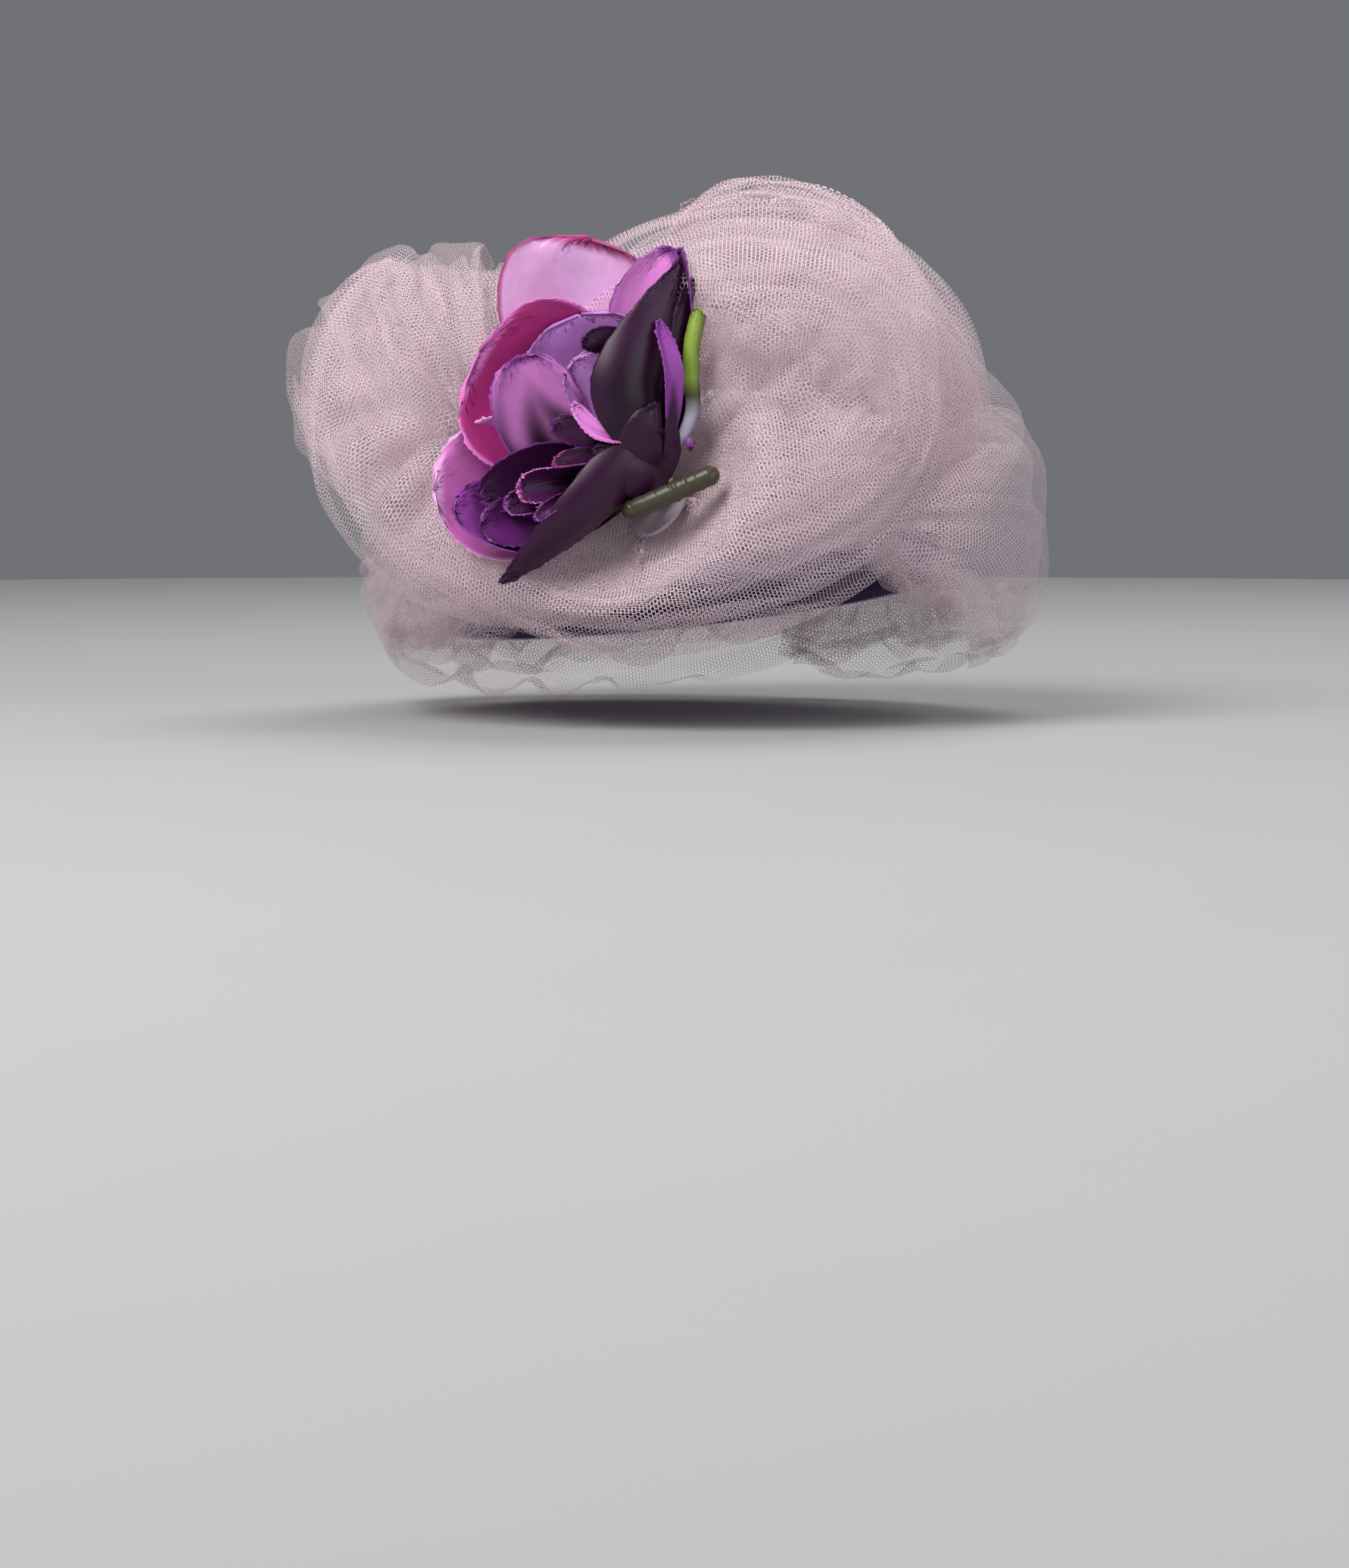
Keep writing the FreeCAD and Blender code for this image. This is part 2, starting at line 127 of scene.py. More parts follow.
def eye_axes(bearing, elevation):
    """Right, up and backwards directions of a camera that looks at the origin."""
    a, e = math.radians(bearing), math.radians(elevation)
    back = Vector((math.sin(a) * math.cos(e), -math.cos(a) * math.cos(e), math.sin(e)))
    right = Vector((math.cos(a), math.sin(a), 0.0))
    return right, back.cross(right), back


def make_camera():
    """Camera at the photograph's viewing angle; the shift keeps the hat high in the picture."""
    _, _, back = eye_axes(VIEW_BEARING, VIEW_ELEVATION)
    data = bpy.data.cameras.new("camera")
    data.sensor_width = SENSOR
    data.lens = data.sensor_width * VIEW_DISTANCE / PICTURE_HEIGHT
    data.shift_x, data.shift_y = SHIFT
    camera = bpy.data.objects.new("camera", data)
    camera.location = back * VIEW_DISTANCE
    camera.rotation_mode = "QUATERNION"
    camera.rotation_quaternion = (-back).to_track_quat("-Z", "Y")
    bpy.context.collection.objects.link(camera)
    bpy.context.scene.camera = camera


def area_light(name, bearing, elevation, distance, size, power, colour):
    """Soft square light aimed at the middle of the hat."""
    _, _, back = eye_axes(VIEW_BEARING + bearing, elevation)
    data = bpy.data.lights.new(name, "AREA")
    data.size = size
    data.energy = power
    data.color = colour
    light = bpy.data.objects.new(name, data)
    light.location = back * distance + Vector((0, 0, LIGHT_AIM))
    light.rotation_mode = "QUATERNION"
    light.rotation_quaternion = (-back).to_track_quat("-Z", "Y")
    bpy.context.collection.objects.link(light)


def make_stage():
    """Pale round floor, an even mid-grey surround, and the soft studio light."""
    scene = bpy.context.scene
    scene.view_settings.view_transform = "Standard"
    scene.cycles.transparent_max_bounces = 96
    scene.cycles.max_bounces = 8

    world = bpy.data.worlds.new("studio")
    world.use_nodes = True
    surround = world.node_tree.nodes["Background"]
    surround.inputs["Color"].default_value = (*linear(112, 114, 118), 1)
    surround.inputs["Strength"].default_value = 1.0
    scene.world = world

    floor = bpy.data.meshes.new("floor")
    z = min(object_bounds()[0].z, CAD_LOW.z) - FLOOR_GAP
    turns = [i * math.tau / FLOOR_SIDES for i in range(FLOOR_SIDES)]
    ring = [(FLOOR_REACH * math.cos(turn), FLOOR_REACH * math.sin(turn), z) for turn in turns]
    floor.from_pydata(ring, [], [range(FLOOR_SIDES)])
    thing = bpy.data.objects.new("floor", floor)
    floor.materials.append(mottled_material("floor", (0.42, 0.42, 0.43), 0.9, 30, 1.0, 0.96))
    bpy.context.collection.objects.link(thing)

    for light in LIGHTS:
        area_light(*light)


# ---------------------------------------------------------------- materials


def new_material(name):
    """Empty node material with a Principled shader: (material, nodes, links, shader)."""
    material = bpy.data.materials.new(name)
    material.use_nodes = True
    nodes, links = material.node_tree.nodes, material.node_tree.links
    return material, nodes, links, nodes["Principled BSDF"]


def mottle(nodes, links, shader, scale, low, high):
    """Base colour that wanders between two colours; gives back its noise node."""
    noise = nodes.new("ShaderNodeTexNoise")
    noise.inputs["Scale"].default_value = scale
    mix = nodes.new("ShaderNodeMix")
    mix.data_type = "RGBA"
    mix.inputs[6].default_value = (*low, 1)
    mix.inputs[7].default_value = (*high, 1)
    links.new(noise.outputs["Fac"], mix.inputs[0])
    links.new(mix.outputs[2], shader.inputs["Base Color"])
    return noise


def mottled_material(name, colour, roughness, scale, first, second, metallic=0.0):
    """Plastic, drawn wire or paint: a colour that wanders between first and second times its value."""
    material, nodes, links, shader = new_material(name)
    one = [c * first for c in colour]
    other = [min(1.0, c * second) for c in colour]
    mottle(nodes, links, shader, scale, one, other)
    shader.inputs["Roughness"].default_value = roughness
    shader.inputs["Metallic"].default_value = metallic
    return material


def net_material():
    """Open net: staggered cells whose threads alone are opaque, laid out on UVs in metres."""
    material, nodes, links, shader = new_material("net")
    uv = nodes.new("ShaderNodeUVMap")
    uv.uv_map = "flat"
    cells = nodes.new("ShaderNodeTexBrick")
    cells.offset = 0.5
    cells.inputs["Scale"].default_value = 1.0
    cells.inputs["Brick Width"].default_value = NET_CELL
    cells.inputs["Row Height"].default_value = NET_CELL * NET_CELL_RATIO
    cells.inputs["Mortar Size"].default_value = NET_THREAD / 2
    cells.inputs["Mortar Smooth"].default_value = 0.0
    links.new(uv.outputs["UV"], cells.inputs["Vector"])
    links.new(cells.outputs["Fac"], shader.inputs["Alpha"])
    shader.inputs["Base Color"].default_value = (*NET_COLOUR, 1)
    shader.inputs["Roughness"].default_value = 0.62
    shader.inputs["Sheen Weight"].default_value = 0.25
    shader.inputs["Sheen Roughness"].default_value = 0.5
    return material


# ---------------------------------------------------------------- net, as gathered sheets


def heading(bearing):
    """Unit vector away from the head's axis at a bearing: 0 the forehead, 90 the wearer's left."""
    a = math.radians(bearing)
    return np.array([math.sin(a), -math.cos(a), 0.0])


def place(bearing, distance, height):
    """Point round the head, from millimetres."""
    return (heading(bearing) * distance + np.array([0, 0, height])) * MM


def rim_place(bearing, distance, height):
    """Point that follows the rim's oval and its slope, from millimetres."""
    p = heading(bearing) * distance
    p[0] *= OVAL
    p[2] = height - RIM_TILT * p[1]
    return p * MM


def photo_place(right, near, up):
    """Point from millimetres to the right, towards and above the origin as the camera sees it."""
    a = math.radians(VIEW_BEARING)
    return (
        np.array([math.cos(a), math.sin(a), 0]) * right
        + np.array([math.sin(a), -math.cos(a), 0]) * near
        + np.array([0, 0, up])
    ) * MM


class Egg:
    """Ellipsoid that points are kept out of."""

    def __init__(self, centre, halves, axes=None):
        self.centre = np.array(centre, float)
        self.axes = np.eye(3) if axes is None else np.array(axes, float)
        self.halves = np.array(halves, float)

    def local(self, p):
        return ((p - self.centre) @ self.axes.T) / self.halves

    def world(self, q):
        return (q * self.halves) @ self.axes + self.centre

    def push_out(self, p):
        """Moves points inside the egg to its skin."""
        q = self.local(p)
        r = np.linalg.norm(q, axis=-1, keepdims=True)
        return np.where(r < 1.0, self.world(q / np.maximum(r, 1e-6)), p)


def grid_normals(p):
    """Unit normals of a grid of points."""
    du = np.gradient(p, axis=1)
    dv = np.gradient(p, axis=0)
    n = np.cross(du, dv)
    return n / np.maximum(np.linalg.norm(n, axis=2, keepdims=True), 1e-12)


def pull(p, a, b, rest, weight, stiff):
    """Moves the pairs p[a], p[b] towards their rest length."""
    d = p[b] - p[a]
    length = np.maximum(np.linalg.norm(d, axis=2, keepdims=True), 1e-9)
    wa, wb = weight[a], weight[b]
    total = wa + wb
    total = np.where(total == 0, 1.0, total)
    d *= stiff * (length - rest) / length / total
    p[a] += d * wa
    p[b] -= d * wb


def settle(p, rest_u, rest_v, weight, push):
    """Lets a gathered grid find its folds.

    Its stretch, shear and bending are limited, air inside pushes it out, and the guards keep it off.
    """
    start = p.copy()
    speed = np.zeros_like(p)
    s = slice
    pairs = []
    for k in (0, 1):
        pairs.append(((s(None), s(k, -1, 2)), (s(None), s(k + 1, None, 2)), rest_u, 1.0))
        pairs.append(((s(k, -1, 2), s(None)), (s(k + 1, None, 2), s(None)), rest_v, 1.0))
    cross = math.hypot(rest_u, rest_v)
    for k in (0, 1):
        pairs.append(((s(k, -1, 2), s(0, -1)), (s(k + 1, None, 2), s(1, None)), cross, SHEAR_STIFF))
        pairs.append(((s(k, -1, 2), s(1, None)), (s(k + 1, None, 2), s(0, -1)), cross, SHEAR_STIFF))
    for k in (0, 1, 2, 3):
        pairs.append(((s(None), s(k, -2, 4)), (s(None), s(k + 2, None, 4)), 2 * rest_u, BEND_STIFF))
        pairs.append(((s(k, -2, 4), s(None)), (s(k + 2, None, 4), s(None)), 2 * rest_v, BEND_STIFF))

    def matched(pair):
        """The pair with both of its ends cut to the same number of rows and columns."""
        a, b, rest, stiff = pair
        rows = min(len(range(*a[0].indices(p.shape[0]))), len(range(*b[0].indices(p.shape[0]))))
        cols = min(len(range(*a[1].indices(p.shape[1]))), len(range(*b[1].indices(p.shape[1]))))
        fit = []
        for one in (a, b):
            r0, _, rs = one[0].indices(p.shape[0])
            c0, _, cs = one[1].indices(p.shape[1])
            fit.append((s(r0, r0 + (rows - 1) * rs + 1, rs), s(c0, c0 + (cols - 1) * cs + 1, cs)))
        return fit[0], fit[1], rest, stiff

    pairs = [matched(pair) for pair in pairs]
    for _ in range(SETTLE_STEPS):
        speed *= SPEED_KEPT
        speed += grid_normals(p) * (push * weight)
        before = p.copy()
        p = p + speed
        p += (start - p) * GUIDE_HOLD * weight
        for a, b, rest, stiff in pairs:
            pull(p, a, b, rest, weight, stiff)
        for guard in GUARDS:
            p = guard.push_out(p)
        p = np.where(weight > 0, p, before)
        speed = p - before
        size = np.linalg.norm(speed, axis=2, keepdims=True)
        speed *= np.minimum(1.0, TOP_SPEED / np.maximum(size, 1e-12))
    return p


def smooth_line(rng, count, waves):
    """Smooth random line of values about 0, from a few random waves."""
    t = np.linspace(0, 1, count)
    line = np.zeros(count)
    for k in range(1, waves + 1):
        line += rng.normal() * np.sin(math.pi * k * t + rng.uniform(0, math.tau)) / math.sqrt(k)
    return line / math.sqrt(waves)


def finer(p):
    """Grid with a point between each two, on a smooth curve through them."""

    def along(q):
        ends = np.concatenate([2 * q[:1] - q[1:2], q, 2 * q[-1:] - q[-2:-1]])
        middle = (9 * (ends[1:-2] + ends[2:-1]) - ends[:-3] - ends[3:]) / 16
        out = np.empty((2 * len(q) - 1, *q.shape[1:]))
        out[0::2] = q
        out[1::2] = middle
        return out

    return along(along(p).transpose(1, 0, 2)).transpose(1, 0, 2)


def crumple(rng, p, amount, size):
    """Adds creases: the ridged sum of a few plane waves in the sheet, along its normals."""
    rows, cols = p.shape[:2]
    v, u = np.meshgrid(np.arange(rows), np.arange(cols), indexing="ij")
    total = np.zeros((rows, cols))
    for _ in range(CREASE_WAVES):
        angle = rng.uniform(0, math.tau)
        warp = 1.5 * np.sin(u * rng.uniform(0.02, 0.06) + v * rng.uniform(0.02, 0.06) + rng.uniform(0, 6))
        phase = (u * math.cos(angle) + v * math.sin(angle)) * math.tau / (size * rng.uniform(0.7, 1.6))
        total += 1 - 2 * np.abs(np.sin(phase / 2 + warp))
    return p + grid_normals(p) * (total * amount / CREASE_WAVES)[:, :, None]


def area_of(p):
    """Area of a grid of points."""
    across = np.cross(p[1:, 1:] - p[:-1, :-1], p[1:, :-1] - p[:-1, 1:])
    return float(np.linalg.norm(across, axis=2).sum() / 2)


def sheet_mesh(name, p, flat):
    """Mesh of a grid of points, with UVs in metres of the flat cloth."""
    rows, cols = p.shape[:2]
    index = np.arange(rows * cols).reshape(rows, cols)
    quads = np.stack([index[:-1, :-1], index[:-1, 1:], index[1:, 1:], index[1:, :-1]], axis=-1).reshape(-1, 4)
    mesh = bpy.data.meshes.new(name)
    mesh.vertices.add(rows * cols)
    mesh.vertices.foreach_set("co", p.reshape(-1).astype(np.float32))
    mesh.loops.add(quads.size)
    mesh.loops.foreach_set("vertex_index", quads.reshape(-1).astype(np.int32))
    mesh.polygons.add(len(quads))
    mesh.polygons.foreach_set("loop_start", np.arange(0, quads.size, 4, dtype=np.int32))
    mesh.update(calc_edges=True)
    v, u = np.meshgrid(np.linspace(0, flat[1], rows), np.linspace(0, flat[0], cols), indexing="ij")
    uv = np.stack([u, v], axis=-1).reshape(-1, 2)[quads.reshape(-1)]
    layer = mesh.uv_layers.new(name="flat")
    layer.data.foreach_set("uv", uv.reshape(-1).astype(np.float32))
    mesh.polygons.foreach_set("use_smooth", np.ones(len(quads), dtype=bool))
    mesh.update()
    thing = bpy.data.objects.new(name, mesh)
    bpy.context.collection.objects.link(thing)
    return thing


def through(points, count):
    """Points evenly along a smooth curve through the given ones."""
    p = np.array(points, float)
    p = np.concatenate([2 * p[:1] - p[1:2], p, 2 * p[-1:] - p[-2:-1]])
    dense = []
    for t in np.linspace(0, len(p) - 3 - 1e-9, 400):
        k, f = int(t), t - int(t)
        a, b, c, d = p[k : k + 4]
        bends = (2 * a - 5 * b + 4 * c - d) * f**2 + (3 * b - 3 * c + d - a) * f**3
        dense.append(0.5 * (2 * b + (c - a) * f + bends))
    dense = np.array(dense)
    arc = np.concatenate([[0], np.cumsum(np.linalg.norm(np.diff(dense, axis=0), axis=1))])
    where = np.linspace(0, arc[-1], count)
    return np.stack([np.interp(where, arc, dense[:, i]) for i in range(dense.shape[1])], axis=1)


class Lobe:
    """One mass of net, gathered at its two ends.

    It has a line through it, the half sizes of its section, the part of a turn that its sheets cover, in
    degrees, the share of the section left at each end, and how soon the section fills.
    """

    def __init__(self, node, points, out, half_out, half_up, turn=(-100, 250), pinch=(0.12, 0.12), full=0.5):
        self.node = node
        self.points = [photo_place(*point) for point in points]
        self.out = np.array(out, float) / np.linalg.norm(out)
        self.half_out, self.half_up = half_out * MM, half_up * MM
        self.turn = [math.radians(x) for x in turn]
        self.pinch = pinch
        self.full = full
        self.crisp = 1.0

    def section(self, t):
        """Share of the full section along the lobe."""
        swell = np.sin(math.pi * np.clip(t, 0, 1)) ** self.full
        ends = self.pinch[0] * (1 - t) + self.pinch[1] * t
        return ends + (1 - ends) * swell

    def dents(self, rng, t, turn):
        """Flat facets and hollows in the section, so that no mass of net is round."""
        total = np.zeros((len(t), len(turn)))
        for _ in range(4):
            round_, along = rng.uniform(1.6, 4.2), rng.uniform(-5, 5)
            total += np.abs(np.sin(turn[None] * round_ / 2 + t[:, None] * along + rng.uniform(0, math.tau)))
        return 1.05 - 0.16 * (total / 4 - 0.45) / 0.45

    def guide(self, rng, rows, cols, scale):
        """Grid of points on the lobe's surface."""
        t = np.linspace(0, 1, rows)
        line = through(self.points, rows)
        along = np.gradient(line, axis=0)
        along /= np.linalg.norm(along, axis=1, keepdims=True)
        out = self.out - along * (along @ self.out)[:, None]
        out /= np.linalg.norm(out, axis=1, keepdims=True)
        up = np.cross(out, along)
        up *= np.sign(up[len(up) // 2, 2])
        turn = np.linspace(*self.turn, cols)
        share = (self.section(t)[:, None] * scale * self.dents(rng, t, turn))[:, :, None]
        side = np.cos(turn)[None, :, None] * self.half_out * out[:, None, :]
        rise = np.sin(turn)[None, :, None] * self.half_up * up[:, None, :]
        return line[:, None, :] + share * (side + rise)


class RimLobe(Lobe):
    """A lobe that lies round the rim between two bearings; its height may change on the way."""

    def __init__(self, node, arc, half_out, half_up, turn=(-100, 250), pinch=(0.12, 0.12), full=0.5):
        super().__init__(node, [(0, 0, 0)] * 3, (1, 0, 0), half_out, half_up, turn, pinch, full)
        self.arc = arc
        self.crisp = 0.3

    def guide(self, rng, rows, cols, scale):
        start, end, distance, low, high = self.arc
        t = np.linspace(0, 1, rows)
        turn = np.linspace(*self.turn, cols)
        share = self.section(t)[:, None] * scale * self.dents(rng, t, turn)
        reach = distance + np.cos(turn)[None] * self.half_out / MM * share
        rise = (low + (high - low) * t)[:, None] + np.sin(turn)[None] * self.half_up / MM * share
        grid = np.empty((rows, cols, 3))
        for j in range(rows):
            for i in range(cols):
                grid[j, i] = rim_place(start + (end - start) * t[j], reach[j, i], rise[j, i])
        return grid


VIEW_AXES = [photo_place(*axis) / MM for axis in np.eye(3)]
CAP_GUARD = Egg((0, 0, 8 * MM), (76.5 * MM, 89 * MM, 60 * MM))
# Room for the rose and its stem: the net is pushed back from it, away from the viewer.
ROSE_GUARD = Egg(photo_place(-36, 130, 60), (60 * MM, 56 * MM, 66 * MM), VIEW_AXES)
STEM_GUARD = Egg(photo_place(-3, 122, 36), (24 * MM, 21 * MM, 13 * MM), VIEW_AXES)
GUARDS = (CAP_GUARD, ROSE_GUARD, STEM_GUARD)


def gathered_sheet(lobe, name, seed, scale, folds, loose):
    """One sheet of net round a lobe, drawn together at both ends and let settle into its folds."""
    rng = np.random.default_rng(seed)
    rows, cols = SHEET_ROWS, SHEET_COLS
    p = lobe.guide(rng, rows, cols, scale)
    du = np.linalg.norm(np.diff(p, axis=1), axis=2).sum(axis=1)
    dv = np.linalg.norm(np.diff(p, axis=0), axis=2).sum(axis=0)
    width = float(du.max()) * loose
    length = float(np.percentile(dv, 70)) * LENGTH_EASE
    rest_u, rest_v = width / (cols - 1), length / (rows - 1)

    i = np.linspace(0, 1, cols)
    place_of = i * folds + 0.55 * smooth_line(rng, cols, 9)
    swing = np.linspace(0, 1, rows)[:, None]
    wander = np.sin(math.tau * (swing * 0.7 + 3 * i[None, :] + rng.uniform()))
    phase = math.tau * (place_of[None, :] + 0.35 * wander)
    ratio = width / np.maximum(du, 1e-6)
    wave = (width / ratio) / folds
    deep = np.minimum(wave / math.pi * np.sqrt(np.maximum(ratio * ratio - 1, 0.0)) * 0.8, FOLD_DEPTH)
    height = rng.uniform(0.6, 1.4, folds + 2)[np.clip(place_of.astype(int), 0, folds + 1)]
    normals = grid_normals(p)
    p = p + normals * (deep[:, None] * np.sin(phase) * height[None, :])[:, :, None]
    p += rng.normal(0, START_NOISE, p.shape)

    weight = np.ones((rows, cols, 1))
    weight[0] = weight[-1] = 0.0
    facing = np.sign((normals * (p - p.mean(axis=(0, 1)))).sum())
    p = settle(p, rest_u, rest_v, weight, facing * AIR_PUSH)
    p = finer(p)
    cell = (rest_u + rest_v) / 4
    crisp = lobe.crisp
    while True:
        creased = p
        for size, slope in CREASES:
            creased = crumple(np.random.default_rng(seed), creased, slope * size * cell * crisp, size)
        if area_of(creased) < MOST_AREA * width * length or crisp < 0.05:
            break
        crisp *= 0.7
    flat = (width, length)
    thing = sheet_mesh(name, creased, flat)
    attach(thing, "hat")
    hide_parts(lobe.node)
    return thing


def make_net():
    """Every mass of net, each of several sheets one inside another, and the sweeps that lie over them."""
    right, near = VIEW_AXES[0], VIEW_AXES[1]
    masses = [
        Lobe("front_pouf", [(-30, 40, 50), (34, 48, 80), (66, 35, 30)], near, 52, 52),
        Lobe("right_pouf", [(-62, 56, 36), (-82, 18, 75), (-78, -40, 36)], -right, 38, 50),
        Lobe("back_pouf", [(-66, -30, 48), (-14, -58, 66), (52, -50, 40)], -near, 44, 44),
        Lobe("left_pouf", [(58, 40, 34), (56, -22, 56), (36, -76, 36)], right, 42, 38),
        RimLobe("front_roll", (-126, 2, 104, 10, 24), 16, 22, pinch=(0.5, 0.25), full=0.6),
        RimLobe("left_fall", (-4, 116, 103, 10, 10), 18, 33, pinch=(0.2, 0.8), full=0.5),
        RimLobe("back_fall", (108, 236, 103, 21, 21), 17, 32, pinch=(0.8, 0.5), full=0.5),
    ]
    sweeps = [
        Lobe("front_pouf",
             [(-66, 66, 20), (-38, 88, 15), (8, 99, 20), (46, 84, 38), (62, 62, 66), (54, 44, 98),
              (34, 36, 116)],
             near, 15, 24, turn=(-115, 125), pinch=(0.4, 0.3), full=0.4),
        Lobe("front_pouf",
             [(0, 92, 32), (34, 88, 42), (52, 74, 62), (50, 56, 90), (30, 44, 112), (-4, 36, 112)],
             near, 18, 28, turn=(-115, 125), pinch=(0.2, 0.3), full=0.5),
        Lobe("right_pouf",
             [(-90, 20, 106), (-102, 32, 80), (-96, 46, 50), (-80, 62, 28), (-52, 80, 16), (-14, 94, 16)],
             near, 14, 22, turn=(-115, 125), pinch=(0.3, 0.3), full=0.5),
    ]
    net = net_material()
    thin = ("left_fall", "back_fall")
    jobs = [
        (lobe, layer, scale)
        for lobe in masses
        for layer, scale in enumerate(THIN_LAYERS if lobe.node in thin else LAYERS)
    ]
    jobs += [(lobe, layer, scale) for lobe in sweeps for layer, scale in enumerate(THIN_LAYERS)]
    for count, (lobe, layer, scale) in enumerate(jobs):
        kind = "sweep" if lobe in sweeps else "net"
        number = sum(1 for other in jobs[: count + 1] if other[0].node == lobe.node)
        thing = gathered_sheet(
            lobe,
            f"{lobe.node}_{kind}_{number}",
            seed=FIRST_SEED + count,
            scale=scale,
            folds=FOLDS + MORE_FOLDS * layer,
            loose=FULLNESS + MORE_FULLNESS * layer,
        )
        thing.data.materials.append(net)


# ---------------------------------------------------------------- rose

ROSE_BASE = place(-47.6, 96, 37)  # where the petals spring from
STEM_RADIUS = 3.0  # of the taped stem, in mm
TAPE_TURN = 4.2  # mm of stem to one turn of tape
TAPE_LIP = 0.24  # mm that the tape's edge stands up
STEM_RINGS = (0.62, 0.71)  # places of the raised rings along the stem
SKIN = 0.35  # thickness of a petal, in mm
PETAL_ROWS, PETAL_COLS = 64, 60
SEPAL_ROWS, SEPAL_COLS = 60, 24

SATIN = {
    "pink": linear(248, 184, 240),
    "rose": linear(226, 122, 206),
    "blush": linear(214, 128, 208),
    "magenta": linear(168, 46, 118),
    "wine": linear(120, 35, 95),
    "violet": linear(146, 66, 160),
    "lilac": linear(198, 130, 214),
    "purple": linear(100, 38, 110),
    "plum": linear(64, 18, 64),
    "dusk": linear(48, 10, 46),
    "deep": linear(30, 6, 32),
}
